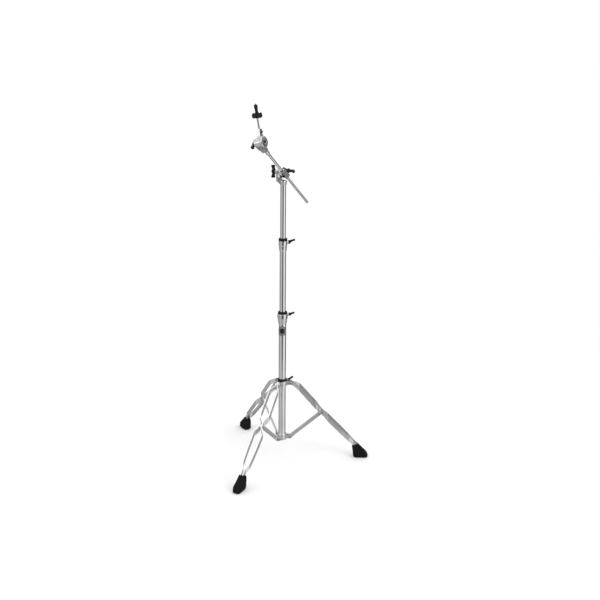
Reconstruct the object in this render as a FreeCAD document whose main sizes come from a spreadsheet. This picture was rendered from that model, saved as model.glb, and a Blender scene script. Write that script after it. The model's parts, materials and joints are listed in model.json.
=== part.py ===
import FreeCAD, Part
import os
from math import sin, cos, tan, radians, degrees, atan2, sqrt, pi
from FreeCAD import Vector as V

# Double-braced cymbal boom stand.  Millimetres.  +Z is up, the origin is on
# the axis of the main tube at floor height, and the right-hand leg lies along
# +X.  Every sub-part is an object of this document with its own Label.

doc = FreeCAD.newDocument("cymbal_boom_stand")

# ---------------------------------------------------------------------------
# Driving dimensions
# ---------------------------------------------------------------------------
sheet = doc.addObject("Spreadsheet::Sheet", "dims")
DIMS = [
    # telescopic column
    ("base_tube_rad", 15.0), ("base_tube_wall", 1.5), ("base_tube_bottom", 86.0), ("base_tube_top", 626.0),
    ("mid_tube_rad", 12.5), ("mid_tube_wall", 1.1), ("mid_tube_bottom", 448.0), ("mid_tube_top", 926.0),
    ("top_tube_rad", 11.0), ("top_tube_wall", 1.2), ("top_tube_bottom", 738.0), ("top_tube_top", 1163.0),
    ("run_gap", 0.06),
    # tripod
    ("hub_bottom", 83.0), ("hub_top", 110.0), ("hub_rad", 18.5), ("hub_pivot_rad", 34.5), ("hub_pivot_z", 94.6),
    ("collar_bottom", 321.0), ("collar_top", 345.0), ("collar_rad", 19.0), ("collar_pivot_rad", 33.5), ("collar_pivot_z", 336.6),
    ("knee_rad", 166.0), ("knee_z", 206.0), ("shoulder_rad", 72.0), ("shoulder_z", 315.0),
    ("leg_end_rad", 318.0), ("leg_end_z", 49.0), ("bar_depth", 16.0), ("bar_thick", 4.4),
    ("loop_half", 19.0), ("strut_gap_half", 3.2), ("strut_thick", 5.8), ("strut_depth", 15.5),
    ("ear_thick", 3.6), ("rivet_rad", 2.5),
    # clamps
    ("clamp_low_bottom", 590.0), ("clamp_low_top", 632.0), ("clamp_low_rad", 20.5), ("clamp_low_neck", 16.6),
    ("clamp_up_bottom", 890.0), ("clamp_up_top", 931.0), ("clamp_up_rad", 16.8), ("clamp_up_neck", 13.9),
    ("ring_height", 9.5), ("wing_screw_rad", 3.0), ("wing_hub_rad", 5.6),
    # boom
    ("boom_rod_rad", 5.25), ("boom_azimuth", -136.0), ("boom_rise", 43.6), ("boom_hinge_z", 1196.2),
    ("tilter_disc_rad", 22.5), ("post_rad", 3.4),
    ("badge_rad", 20.0),
]
for i, (name, value) in enumerate(DIMS):
    sheet.set("A%d" % (i + 1), name)
    sheet.set("B%d" % (i + 1), repr(value))
    sheet.setAlias("B%d" % (i + 1), name)
doc.recompute()
D = {name: float(sheet.get(name)) for name, value in DIMS}

NODES = []          # objects that become files, in order


# ---------------------------------------------------------------------------
# Helpers
# ---------------------------------------------------------------------------
def val(e):
    """Number of an expression written with the sheet's aliases."""
    if isinstance(e, (int, float)):
        return float(e)
    tokens, word = [], ""
    for ch in e + " ":
        if ch.isalnum() or ch in "_.":
            word += ch
            continue
        if word:
            tokens.append(D[word] if word in D else float(word))
            word = ""
        if ch in "+-*/()":
            tokens.append(ch)
    tokens.reverse()

    def factor():
        t = tokens.pop()
        if t == "-":
            return -factor()
        if t == "(":
            v = total()
            tokens.pop()
            return v
        return t

    def product():
        v = factor()
        while tokens and tokens[-1] in ("*", "/"):
            if tokens.pop() == "*":
                v = v * factor()
            else:
                v = v / factor()
        return v

    def total():
        v = product()
        while tokens and tokens[-1] in ("+", "-"):
            if tokens.pop() == "+":
                v = v + product()
            else:
                v = v - product()
        return v

    return float(total())


def bind(e):
    """Adds the sheet's name in front of each alias."""
    out, word = "", ""
    names = set(D)
    for ch in e + " ":
        if ch.isalnum() or ch == "_":
            word += ch
            continue
        out += ("dims." + word) if word in names else word
        out += ch
        word = ""
    return out.strip()


def frame(origin, z=(0, 0, 1), x=None):
    """Placement whose local Z and X axes point along z and x."""
    z = V(*z).normalize()
    if x is None:
        x = V(1, 0, 0) if abs(z.x) < 0.9 else V(0, 1, 0)
    x = V(*x)
    x = (x - z * x.dot(z)).normalize()
    y = z.cross(x)
    m = FreeCAD.Matrix(x.x, y.x, z.x, origin[0], x.y, y.y, z.y, origin[1], x.z, y.z, z.z, origin[2], 0, 0, 0, 1)
    return FreeCAD.Placement(m)


def new_body(label, place=None, keep=True):
    b = doc.addObject("PartDesign::Body", label)
    b.Label = label
    if place is not None:
        b.Placement = place
    if keep:
        NODES.append(b)
    return b


def plane(b, role):
    for f in b.Origin.OriginFeatures:
        if f.Role == role:
            return f


def sketch_on(b, role, name, offset=0.0, origin_rot=None):
    s = b.newObject("Sketcher::SketchObject", name)
    s.AttachmentSupport = (plane(b, role), [""])
    s.MapMode = "FlatFace"
    if offset or origin_rot:
        s.AttachmentOffset = FreeCAD.Placement(V(0, 0, val(offset)), FreeCAD.Rotation(V(0, 0, 1), origin_rot or 0))
        if isinstance(offset, str):
            s.setExpression("AttachmentOffset.Base.z", bind(offset) + " * 1 mm")
    return s


def poly(s, pts):
    """Closed outline; each corner is located from the origin, and a corner given as an expression follows the sheet."""
    import Sketcher
    num = [(val(a), val(c)) for a, c in pts]
    first = s.GeometryCount
    n = len(num)
    s.addGeometry([Part.LineSegment(V(num[i][0], num[i][1], 0), V(num[(i + 1) % n][0], num[(i + 1) % n][1], 0)) for i in range(n)], False)
    cons, names = [], []
    for i in range(n):
        cons.append(Sketcher.Constraint("Coincident", first + i, 2, first + (i + 1) % n, 1))
    s.addConstraint(cons)
    for i in range(n):
        for k, word in ((0, "DistanceX"), (1, "DistanceY")):
            c = s.addConstraint(Sketcher.Constraint(word, -1, 1, first + i, 1, num[i][k]))
            e = pts[i][k]
            if isinstance(e, str):
                nm = "p%d_%d%s" % (first, i, "xy"[k])
                s.renameConstraint(c, nm)
                s.setExpression("Constraints." + nm, bind(e))


def circle(s, cx, cy, r):
    import Sketcher
    g = s.addGeometry(Part.Circle(V(val(cx), val(cy), 0), V(0, 0, 1), val(r)), False)
    for word, e in (("DistanceX", cx), ("DistanceY", cy)):
        c = s.addConstraint(Sketcher.Constraint(word, -1, 1, g, 3, val(e)))
        if isinstance(e, str):
            nm = "c%d%s" % (g, word[-1])
            s.renameConstraint(c, nm)
            s.setExpression("Constraints." + nm, bind(e))
    c = s.addConstraint(Sketcher.Constraint("Radius", g, val(r)))
    if isinstance(r, str):
        nm = "r%d" % g
        s.renameConstraint(c, nm)
        s.setExpression("Constraints." + nm, bind(r))


def revolve(b, pts, name="Profile"):
    s = sketch_on(b, "XZ_Plane", name)
    poly(s, pts)
    r = b.newObject("PartDesign::Revolution", name + "_turn")
    r.Profile = s
    r.ReferenceAxis = (s, ["V_Axis"])
    r.Angle = 360.0
    b.Tip = r
    return r


def groove(b, pts, name="Cut"):
    s = sketch_on(b, "XZ_Plane", name)
    poly(s, pts)
    r = b.newObject("PartDesign::Groove", name + "_turn")
    r.Profile = s
    r.ReferenceAxis = (s, ["V_Axis"])
    r.Angle = 360.0
    b.Tip = r
    return r


def feature(b, kind, s, length, midplane, reverse, name):
    f = b.newObject("PartDesign::" + kind, name)
    f.Profile = s
    if length == "through":
        f.Type = 1
    else:
        f.Length = val(length)
        if isinstance(length, str):
            f.setExpression("Length", bind(length) + " * 1 mm")
    f.Midplane = midplane
    f.Reversed = reverse
    b.Tip = f
    return f


def pad(b, role, outlines, length, offset=0.0, midplane=False, reverse=False, name="Pad", holes=()):
    s = sketch_on(b, role, name + "_sketch", offset)
    for o in outlines:
        if len(o) == 3 and not isinstance(o[0], (tuple, list)):
            circle(s, *o)
        else:
            poly(s, o)
    for h in holes:
        circle(s, *h)
    return feature(b, "Pad", s, length, midplane, reverse, name)


def pocket(b, role, outlines, length, offset=0.0, midplane=False, reverse=False, name="Pocket"):
    s = sketch_on(b, role, name + "_sketch", offset)
    for o in outlines:
        if len(o) == 3 and not isinstance(o[0], (tuple, list)):
            circle(s, *o)
        else:
            poly(s, o)
    return feature(b, "Pocket", s, length, midplane, reverse, name)


def turn3(b, originals, name="Threefold"):
    p = b.newObject("PartDesign::PolarPattern", name)
    p.Originals = originals
    axis = [f for f in b.Origin.OriginFeatures if f.Role == "Z_Axis"][0]
    p.Axis = (axis, [""])
    p.Angle = 360.0
    p.Occurrences = 3
    b.Tip = p
    return p


def ease(b, radius, pick, name="Ease", kind="Fillet"):
    """Rounds the edges for which pick(edge) is true, in the body's own frame."""
    doc.recompute()
    base = b.Tip
    inv = b.Placement.inverse()
    names = []
    for i, e in enumerate(base.Shape.Edges):
        if pick(e):
            names.append("Edge%d" % (i + 1))
    if not names:
        raise RuntimeError("no edge to round on " + b.Label)
    f = b.newObject("PartDesign::" + kind, name)
    f.Base = (base, names)
    if kind == "Fillet":
        f.Radius = radius
    else:
        f.Size = radius
    b.Tip = f
    return f


def along(e, d, tol=0.02):
    """True for a straight edge parallel to d."""
    if not isinstance(e.Curve, (Part.Line, Part.LineSegment)):
        return False
    t = e.tangentAt(e.FirstParameter)
    return abs(abs(t.dot(V(*d))) - 1) < tol


def solid(label, shape, place=None, keep=True):
    f = doc.addObject("Part::Feature", label)
    f.Label = label
    f.Shape = shape
    if place is not None:
        f.Placement = place
    if keep:
        NODES.append(f)
    return f


def rod_shape(r, a, b_):
    d = V(*b_) - V(*a)
    return Part.makeCylinder(r, d.Length, V(*a), d)


def capsule_plate(p, q, ra, rb, t):
    """Flat link of thickness t in the XY plane round points p and q, from z = 0."""
    p, q = V(*p), V(*q)
    d = (q - p)
    L = d.Length
    d = d.normalize()
    n = V(-d.y, d.x, 0)
    s_ = (ra - rb) / L
    c_ = sqrt(1 - s_ * s_)
    u = n * c_ + d * s_
    w = n * (-c_) + d * s_
    a1, a2 = p + u * ra, q + u * rb
    b1, b2 = p + w * ra, q + w * rb
    wire = Part.Wire([Part.makeLine(a1, a2), Part.Arc(a2, q + d * rb, b2).toShape(), Part.makeLine(b2, b1), Part.Arc(b1, p - d * ra, a1).toShape()])
    return Part.Face(wire).extrude(V(0, 0, t))


# ---------------------------------------------------------------------------
# Main tube, hub and end plug
# ---------------------------------------------------------------------------
b = new_body("base_tube")
revolve(b, [("base_tube_rad - base_tube_wall", "base_tube_bottom"), ("base_tube_rad", "base_tube_bottom"),
            ("base_tube_rad", "base_tube_top"), ("base_tube_rad - base_tube_wall", "base_tube_top")])


def lugged_ring(label, z0, z1, rad, bore, pr, pz, ear_half, slot_half, ear_rad, root):
    """Cast ring with three forked ears; each fork takes one link on a cross rivet."""
    b = new_body(label)
    revolve(b, [(bore, z0), (rad, z0 + " + 1"), (rad, z1 + " - 1.5"), (rad + " - 1.5", z1), (bore, z1)])
    x0 = root
    ear = pad(b, "XZ_Plane", [[(x0, pz + " - %g" % ear_rad), (pr, pz + " - %g" % ear_rad), (pr + " + %g" % (ear_rad * 0.72), pz + " - %g" % (ear_rad * 0.72)),
                               (pr + " + %g" % ear_rad, pz), (pr + " + %g" % (ear_rad * 0.72), pz + " + %g" % (ear_rad * 0.72)),
                               (pr, pz + " + %g" % ear_rad), (x0, pz + " + %g" % ear_rad)]], 2 * ear_half, midplane=True, name="Fork")
    slot = pocket(b, "XZ_Plane", [[(rad + " + 0.6", pz + " - 30"), (pr + " + 30", pz + " - 30"), (pr + " + 30", pz + " + 30"), (rad + " + 0.6", pz + " + 30")]],
                  2 * slot_half, midplane=True, name="Slot")
    hole = pocket(b, "XZ_Plane", [(pr, pz, "rivet_rad")], 2 * ear_half + 4, midplane=True, name="RivetHole")
    turn3(b, [ear, slot, hole])
    return b


b = lugged_ring("base_hub", "hub_bottom", "hub_top", "hub_rad", "base_tube_rad", "hub_pivot_rad", "hub_pivot_z", 7.4, 3.2, 7.8, 15.2)
bb = new_body("base_plug")
revolve(bb, [(0, 80.5), (12.5, 80.5), (14.6, 82), (14.6, "base_tube_bottom"), (13.4, "base_tube_bottom"), (13.4, 95), (12.2, 97), (0, 97)])

# ---------------------------------------------------------------------------
# Sliding leg collar with its bush
# ---------------------------------------------------------------------------
WA = {"collar": 46.5, "low": 35.0, "up": 35.5}      # azimuths of the three clamp screws
b = lugged_ring("leg_collar", "collar_bottom", "collar_top", "collar_rad", "base_tube_rad + 1.1", "collar_pivot_rad", "collar_pivot_z", 9.0, 5.2, 8.2, 17.0)


def boss(b, az, z, r0, r1, rad, bore_rad, name="Boss", flat=None):
    """Round boss on a radial axis with a through bore for the clamp screw."""
    s = b.newObject("Sketcher::SketchObject", name + "_sketch")
    s.AttachmentSupport = (plane(b, "YZ_Plane"), [""])
    s.MapMode = "FlatFace"
    a = radians(az)
    rot = FreeCAD.Rotation(V(0, 0, 1), az)
    # the attachment turns the YZ plane to the boss's azimuth and moves it out to r0
    s.AttachmentOffset = FreeCAD.Placement(V(0, 0, 0), FreeCAD.Rotation())
    doc.recompute()
    want = FreeCAD.Placement(V(r0 * cos(a), r0 * sin(a), 0), rot.multiply(s.Placement.Rotation))
    s.AttachmentOffset = s.Placement.inverse().multiply(want)
    doc.recompute()
    circle(s, 0, z, rad)
    p = feature(b, "Pad", s, r1 - r0, False, False, name)
    s2 = b.newObject("Sketcher::SketchObject", name + "_bore_sketch")
    s2.AttachmentSupport = (plane(b, "YZ_Plane"), [""])
    s2.MapMode = "FlatFace"
    doc.recompute()
    want2 = FreeCAD.Placement(V((r1 + 2) * cos(a), (r1 + 2) * sin(a), 0), rot.multiply(s2.Placement.Rotation))
    s2.AttachmentOffset = s2.Placement.inverse().multiply(want2)
    doc.recompute()
    circle(s2, 0, z, bore_rad)
    feature(b, "Pocket", s2, r1 - r0 + 8, False, False, name + "_bore")
    return b


boss(b, WA["collar"], 337.4, 17.0, 26.0, 7.2, "wing_screw_rad + 0.06")
b = new_body("collar_bush")
revolve(b, [("base_tube_rad + run_gap", "collar_bottom + 1"), ("base_tube_rad + 1.1", "collar_bottom + 1"), ("base_tube_rad + 1.1", "collar_top"),
            ("collar_rad - 0.4", "collar_top"), ("collar_rad", "collar_top + 1"), ("collar_rad", "collar_top + ring_height - 1.5"), ("collar_rad - 1.5", "collar_top + ring_height"),
            ("base_tube_rad + run_gap", "collar_top + ring_height")])

# ---------------------------------------------------------------------------
# Wing screws: a steel screw with a moulded two-lobed handle
# ---------------------------------------------------------------------------
def wing_outline(half, hub, tip, sweep, root):
    """Half outlines joined: lobes on both sides of a round hub, swept along +Y."""
    return [(-half, sweep), (-half + 1.8, sweep - tip), (-half * 0.55, -0.2 + root * 0.4), (-hub, -root), (hub, -root), (half * 0.55, -0.2 + root * 0.4),
            (half - 1.8, sweep - tip), (half, sweep), (half - 0.6, sweep + tip * 0.75), (half - 3.0, sweep + tip), (half * 0.5, sweep * 0.55 + tip * 0.75), (hub, sweep * 0.35 + tip * 0.55),
            (0, tip * 0.75), (-hub, sweep * 0.35 + tip * 0.55), (-half * 0.5, sweep * 0.55 + tip * 0.75), (-half + 3.0, sweep + tip), (-half + 0.6, sweep + tip * 0.75)]


def wing_screw(stem, handle, place, tip_len, half=17.0, thick=6.0, hub_len=13.0, hub_rad=5.6, sweep=4.5, tip=5.0, nut=False, screw_rad=None):
    """Local Z is the screw's axis pointing out of the clamp; z = 0 is the hub's inner face."""
    sr = "wing_screw_rad" if screw_rad is None else screw_rad
    b = new_body(stem, place)
    if nut:
        revolve(b, [(0, -tip_len), (sr, -tip_len), (sr, hub_len + 1.6), ("%s - 0.8" % sr if isinstance(sr, str) else sr - 0.8, hub_len + 2.4), (0, hub_len + 2.4)])
    else:
        revolve(b, [(0, -tip_len), ("%s - 0.8" % sr if isinstance(sr, str) else sr - 0.8, -tip_len), (sr, -tip_len + 1), (sr, hub_len * 0.7), (0, hub_len * 0.7)])
    h = new_body(handle, place)
    revolve(h, [(0, 0), (hub_rad - 0.8, 0), (hub_rad, 0.8), (hub_rad, hub_len - 2), (hub_rad - 1.6, hub_len), (0, hub_len)])
    zc = hub_len * 0.52
    pts = [(x, y + zc) for x, y in wing_outline(half, hub_rad - 0.5, tip, sweep, 3.2)]
    pad(h, "XZ_Plane", [pts], thick, midplane=True, name="Lobes")
    if nut:
        pocket(h, "XY_Plane", [(0, 0, sr)], hub_len + 40, offset=-5, reverse=True, name="ScrewHole")
    else:
        pocket(h, "XY_Plane", [(0, 0, sr)], hub_len * 0.7 + 5, offset=-5, reverse=True, name="ScrewHole")
    return b, h


def radial(az, z, r):
    a = radians(az)
    return frame((r * cos(a), r * sin(a), z), (cos(a), sin(a), 0), (-sin(a), cos(a), 0))


def spin(place, deg):
    return place.multiply(FreeCAD.Placement(V(0, 0, 0), FreeCAD.Rotation(V(0, 0, 1), deg)))


wing_screw("collar_screw", "collar_wing", spin(radial(WA["collar"], 337.4, 27.0), 135), 27.0 - 16.2, half=22.0, hub_len=15.0, sweep=11.2, tip=3.8)

# ---------------------------------------------------------------------------
# Legs: two formed bars, a rubber foot and the rivets, three times
# ---------------------------------------------------------------------------
CP = (D["collar_pivot_rad"], D["collar_pivot_z"])
KN = (D["knee_rad"], D["knee_z"])
SH = (D["shoulder_rad"], D["shoulder_z"])
EN = (D["leg_end_rad"], D["leg_end_z"])
HP = (D["hub_pivot_rad"], D["hub_pivot_z"])
hd = D["bar_depth"] / 2.0


def offset_line(pts, d):
    """Points of an open polyline moved sideways by d, mitred."""
    out = []
    for i, p in enumerate(pts):
        dirs = []
        if i > 0:
            q = pts[i - 1]
            dirs.append((p[0] - q[0], p[1] - q[1]))
        if i < len(pts) - 1:
            q = pts[i + 1]
            dirs.append((q[0] - p[0], q[1] - p[1]))
        ns = []
        for dx, dy in dirs:
            L = sqrt(dx * dx + dy * dy)
            ns.append((-dy / L, dx / L))
        nx, ny = sum(n[0] for n in ns) / len(ns), sum(n[1] for n in ns) / len(ns)
        k = d / (nx * nx + ny * ny)
        out.append((p[0] + nx * k, p[1] + ny * k))
    return out


def rounded_path(pts, radius):
    """Open polyline with its inner corners replaced by short chords of an arc."""
    out = [pts[0]]
    for i in range(1, len(pts) - 1):
        p, a, c = V(pts[i][0], pts[i][1], 0), V(pts[i - 1][0], pts[i - 1][1], 0), V(pts[i + 1][0], pts[i + 1][1], 0)
        u, w = (a - p).normalize(), (c - p).normalize()
        ang = u.getAngle(w)
        t = min(radius / tan(ang / 2.0), (a - p).Length * 0.45, (c - p).Length * 0.45)
        r = t * tan(ang / 2.0)
        s_, e_ = p + u * t, p + w * t
        m = (u + w).normalize()
        cen = p + m * sqrt(t * t + r * r)
        for k in range(5):
            f = k / 4.0
            q = cen + ((s_ - cen) * (1 - f) + (e_ - cen) * f).normalize() * r
            out.append((q.x, q.y))
    out.append(pts[-1])
    return out


# side view of the bars (radius, height) and their plan (radius, sideways)
side_line = rounded_path([(CP[0] - 6.5, CP[1] + 3.2), (52.0, CP[1] - 8.4), SH, KN, EN], 26.0)
side_outline = offset_line(side_line, hd) + list(reversed(offset_line(side_line, -hd)))
half_t = D["bar_thick"] / 2.0
wc, wk, wl, wf = half_t + 0.35, D["strut_gap_half"] + half_t, D["loop_half"], 3.0 + half_t
plan_line = rounded_path([(CP[0] - 8.0, wc), (47.0, wc), (70.0, wl - 1.0), (143.0, wl + 0.5), (156.5, wk), (175.5, wk), (190.0, wl + 0.6), (250.0, wl - 1.0), (283.0, wl - 4.2), (298.0, wf), (325.0, wf)], 9.0)
plan_outline = offset_line(plan_line, half_t) + list(reversed(offset_line(plan_line, -half_t)))


def leg_bar(label, az, sign):
    """Bar cut from a side-view slab by its plan outline; sign picks the left or the right bar of the pair."""
    sl = doc.addObject("Sketcher::SketchObject", label + "_side")
    sl.Placement = FreeCAD.Placement(V(0, 0, 0), FreeCAD.Rotation(V(1, 0, 0), 90))
    poly(sl, side_outline)
    ex = doc.addObject("Part::Extrusion", label + "_slab")
    ex.Base = sl
    ex.DirMode = "Normal"
    ex.Solid = True
    ex.Symmetric = True
    ex.LengthFwd = 80.0
    pl = doc.addObject("Sketcher::SketchObject", label + "_plan")
    poly(pl, [(x, sign * y) for x, y in plan_outline])
    ep = doc.addObject("Part::Extrusion", label + "_strip")
    ep.Base = pl
    ep.DirMode = "Normal"
    ep.Solid = True
    ep.LengthFwd = 500.0
    ep.setExpression("LengthFwd", "(dims.collar_pivot_z + 100) * 1 mm")
    cm = doc.addObject("Part::MultiCommon", label + "_blank")
    cm.Shapes = [ex, ep]
    pins = []
    for k, (p, r) in enumerate(((CP, D["rivet_rad"] + D["run_gap"]), (KN, D["rivet_rad"]))):
        c = doc.addObject("Part::Cylinder", label + "_hole%d" % k)
        c.Radius, c.Height = r, 80.0
        c.setExpression("Radius", "(dims.rivet_rad%s) * 1 mm" % (" + dims.run_gap" if k == 0 else ""))
        c.Placement = FreeCAD.Placement(V(p[0], 40, p[1]), FreeCAD.Rotation(V(1, 0, 0), 90))
        pins.append(c)
    fu = doc.addObject("Part::MultiFuse", label + "_holes")
    fu.Shapes = pins
    cut = doc.addObject("Part::Cut", label)
    cut.Base, cut.Tool = cm, fu
    cut.Label = label
    cut.Placement = FreeCAD.Placement(V(0, 0, 0), FreeCAD.Rotation(V(0, 0, 1), az))
    NODES.append(cut)
    return cut


# direction of the lower leg, used by the foot
ld = V(EN[0] - KN[0], 0, EN[1] - KN[1]).normalize()


def foot(label, az):
    """Moulded rubber boot: sloped wedge with a domed sole, hollow where the bars enter."""
    b = new_body(label, FreeCAD.Placement(V(0, 0, 0), FreeCAD.Rotation(V(0, 0, 1), az)))
    side = [(305.0, 2.6), (301.5, 9.0), (300.2, 24.0), (296.8, 44.0), (297.8, 52.0), (301.5, 54.0), (316.5, 61.5), (319.8, 60.6), (359.2, 19.0),
            (363.8, 10.5), (362.8, 3.6), (357.5, 0.0), (310.0, 0.0)]
    pad(b, "XZ_Plane", [side], 40, midplane=True, name="Wedge")
    # plan taper: narrow at the top inner end, wide at the sole
    pocket(b, "XY_Plane", [[(280, 12.5), (303, 13.0), (330, 17.0), (352, 16.6), (361, 12.0), (366, 7.0), (366, 30), (280, 30)],
                           [(280, -12.5), (280, -30), (366, -30), (366, -7.0), (361, -12.0), (352, -16.6), (330, -17.0), (303, -13.0)]], 100, reverse=True, name="Cheeks")
    pocket(b, "YZ_Plane", [[(-30, 66), (-9.5, 66), (-11.5, 44), (-15.5, 18), (-17.2, 8), (-15.5, 1.2), (-10, -0.5), (-30, -0.5)],
                           [(30, 66), (30, -0.5), (10, -0.5), (15.5, 1.2), (17.2, 8), (15.5, 18), (11.5, 44), (9.5, 66)]], 500, reverse=True, name="Shoulders")
    return b


LEGS = (("right", 0.0), ("front", -120.0), ("rear", 120.0))
for nm, az in LEGS:
    pl = FreeCAD.Placement(V(0, 0, 0), FreeCAD.Rotation(V(0, 0, 1), az))
    bars = [leg_bar("leg_%s_bar_a" % nm, az, 1), leg_bar("leg_%s_bar_b" % nm, az, -1)]
    ft = foot("foot_%s" % nm, az)
    # socket for the joined bar ends: a slanted slot through the boot's top face
    s = ft.newObject("Sketcher::SketchObject", "Socket_sketch")
    s.AttachmentSupport = (plane(ft, "XZ_Plane"), [""])
    s.MapMode = "FlatFace"
    n = V(-ld.z, 0, ld.x)
    c0, c1 = V(EN[0], 0, EN[1]) + ld * 0.0, V(EN[0], 0, EN[1]) - ld * 40
    q = [c0 + n * hd, c1 + n * hd, c1 - n * hd, c0 - n * hd]
    poly(s, [(p.x, p.z) for p in q])
    feature(ft, "Pocket", s, 2 * (wf + half_t), True, False, "Socket")
    rv = new_body("leg_%s_rivets" % nm, pl.multiply(frame((KN[0], 0, KN[1]), (0, -1, 0), (1, 0, 0))))
    o = D["strut_gap_half"] + D["bar_thick"]
    revolve(rv, [(0, -o - 3.2), (2.6, -o - 3.2), (4.6, -o - 1.4), (4.6, -o), ("rivet_rad", -o), ("rivet_rad", o), (4.6, o), (4.6, o + 1.4), (2.6, o + 3.2), (0, o + 3.2)])

# struts from the hub to the knees
for nm, az in LEGS:
    L = sqrt((KN[0] - HP[0]) ** 2 + (KN[1] - HP[1]) ** 2)
    d = ((KN[0] - HP[0]) / L, 0, (KN[1] - HP[1]) / L)
    pl = FreeCAD.Placement(V(0, 0, 0), FreeCAD.Rotation(V(0, 0, 1), az)).multiply(frame((HP[0], 0, HP[1]), (0, -1, 0), d))
    b = new_body("strut_%s" % nm, pl)
    hw = D["strut_depth"] / 2
    e = 0.62 * hw
    pad(b, "XY_Plane", [[(-hw, -e + 0.6), (-e, -hw + 0.2), (4, -hw), (L - 4, -hw), (L + e, -hw + 0.2), (L + hw, -e + 0.6), (L + hw, e - 0.6), (L + e, hw - 0.2), (L - 4, hw), (4, hw), (-e, hw - 0.2), (-hw, e - 0.6)]],
        "strut_thick", midplane=True, name="Link", holes=[(L, 0, "rivet_rad + run_gap"), (0, 0, "rivet_rad + run_gap")])
    for sg in (1, -1):
        pocket(b, "XY_Plane", [[(16, -hw + 2.4), (L - 22, -hw + 2.4), (L - 22, hw - 2.4), (16, hw - 2.4)]], 1.6, offset="strut_thick / 2 * %d" % sg, reverse=(sg < 0), name="Channel%s" % ("A" if sg > 0 else "B"))

# collar rivets run right through the forks; the hub rivets are short studs in
# each ear, so that the fold's open pivot has room
shapes = []
for nm, az in LEGS:
    pl = FreeCAD.Placement(V(0, 0, 0), FreeCAD.Rotation(V(0, 0, 1), az))
    c = frame((CP[0], 0, CP[1]), (0, -1, 0), (1, 0, 0))
    pts = [V(0, 0, -12.0), V(2.6, 0, -12.0), V(4.4, 0, -10.6), V(4.4, 0, -9.0), V(D["rivet_rad"], 0, -9.0), V(D["rivet_rad"], 0, 9.0), V(4.4, 0, 9.0), V(4.4, 0, 10.6), V(2.6, 0, 12.0), V(0, 0, 12.0)]
    sh = Part.Face(Part.makePolygon(pts + [pts[0]])).revolve(V(0, 0, 0), V(0, 0, 1), 360)
    sh.Placement = pl.multiply(c)
    shapes.append(sh)
solid("collar_rivets", Part.makeCompound(shapes))
shapes = []
for nm, az in LEGS:
    pl = FreeCAD.Placement(V(0, 0, 0), FreeCAD.Rotation(V(0, 0, 1), az))
    for sg in (1, -1):
        c = frame((HP[0], 0, HP[1]), (0, sg, 0), (1, 0, 0))
        pts = [V(0, 0, 3.4), V(D["rivet_rad"], 0, 3.4), V(D["rivet_rad"], 0, 7.4), V(4.4, 0, 7.4), V(4.4, 0, 8.8), V(2.6, 0, 10.2), V(0, 0, 10.2)]
        sh = Part.Face(Part.makePolygon(pts + [pts[0]])).revolve(V(0, 0, 0), V(0, 0, 1), 360)
        sh.Placement = pl.multiply(c)
        shapes.append(sh)
solid("hub_rivets", Part.makeCompound(shapes))


# ---------------------------------------------------------------------------
# The two height clamps: tapered casting, nylon bush with a ring, wing screw
# ---------------------------------------------------------------------------
def clamp(prefix, z0, z1, rad, neck, tube_out, tube_top, inner_rad, seat, az, tube_body, ring_rad):
    b = new_body(prefix + "_clamp")
    revolve(b, [(tube_out, z0), (neck, z0), (neck + " + 1.2", z0 + " + 7"), (rad + " - 1.2", z1 + " - 20"), (rad, z1 + " - 17"), (rad, z1 + " - 1"), (rad + " - 1", z1),
                (inner_rad + " + 1.9", z1), (inner_rad + " + 1.9", tube_top), (tube_out, tube_top)])
    zb = val(z1) - 8.0
    rr = val(rad)
    boss(b, az, zb, rr - 3.3, rr + 5.0, 6.8, "wing_screw_rad + 0.06")
    bu = new_body(prefix + "_bush")
    revolve(bu, [(inner_rad, z1 + " - 34"), (seat, z1 + " - 34"), (seat, tube_top), (inner_rad + " + 1.86", tube_top), (inner_rad + " + 1.86", z1), (ring_rad - 0.8, z1), (ring_rad, z1 + " + 0.8"),
                 (ring_rad, z1 + " + ring_height - 1.6"), (ring_rad - 1.6, z1 + " + ring_height"), (inner_rad, z1 + " + ring_height")])
    return zb, rr


low = clamp("middle", "clamp_low_bottom", "clamp_low_top", "clamp_low_rad", "clamp_low_neck", "base_tube_rad", "base_tube_top", "mid_tube_rad + run_gap", "base_tube_rad - base_tube_wall - 0.04", WA["low"], None, 18.6)
# the screws reach through the wall onto the bush
wing_screw("middle_screw", "middle_wing", spin(radial(WA["low"], low[0], low[1] + 6.0), 152), low[1] + 6.0 - 15.6, half=22.0, hub_len=14.0, sweep=8.0, tip=3.8)

b = new_body("middle_tube")
revolve(b, [("mid_tube_rad - mid_tube_wall", "mid_tube_bottom"), ("mid_tube_rad", "mid_tube_bottom"), ("mid_tube_rad", "mid_tube_top"), ("mid_tube_rad - mid_tube_wall", "mid_tube_top")])
up = clamp("upper", "clamp_up_bottom", "clamp_up_top", "clamp_up_rad", "clamp_up_neck", "mid_tube_rad", "mid_tube_top", "top_tube_rad + run_gap", "mid_tube_rad - mid_tube_wall - 0.04", WA["up"], None, 17.2)
wing_screw("upper_screw", "upper_wing", spin(radial(WA["up"], up[0], up[1] + 6.0), 152), up[1] + 6.0 - 13.4, half=22.0, hub_len=14.0, sweep=11.5, tip=3.8)

ba_ = radians(D["boom_azimuth"])
b = new_body("upper_tube", frame((0, 0, 0), (0, 0, 1), (cos(ba_), sin(ba_), 0)))
revolve(b, [("top_tube_rad - top_tube_wall", "top_tube_bottom"), ("top_tube_rad", "top_tube_bottom"), ("top_tube_rad", "top_tube_top"), ("top_tube_rad - top_tube_wall", "top_tube_top")])
pocket(b, "YZ_Plane", [(0, "top_tube_top - 7", 1.5)], 60, midplane=True, name="PinHole")

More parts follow.
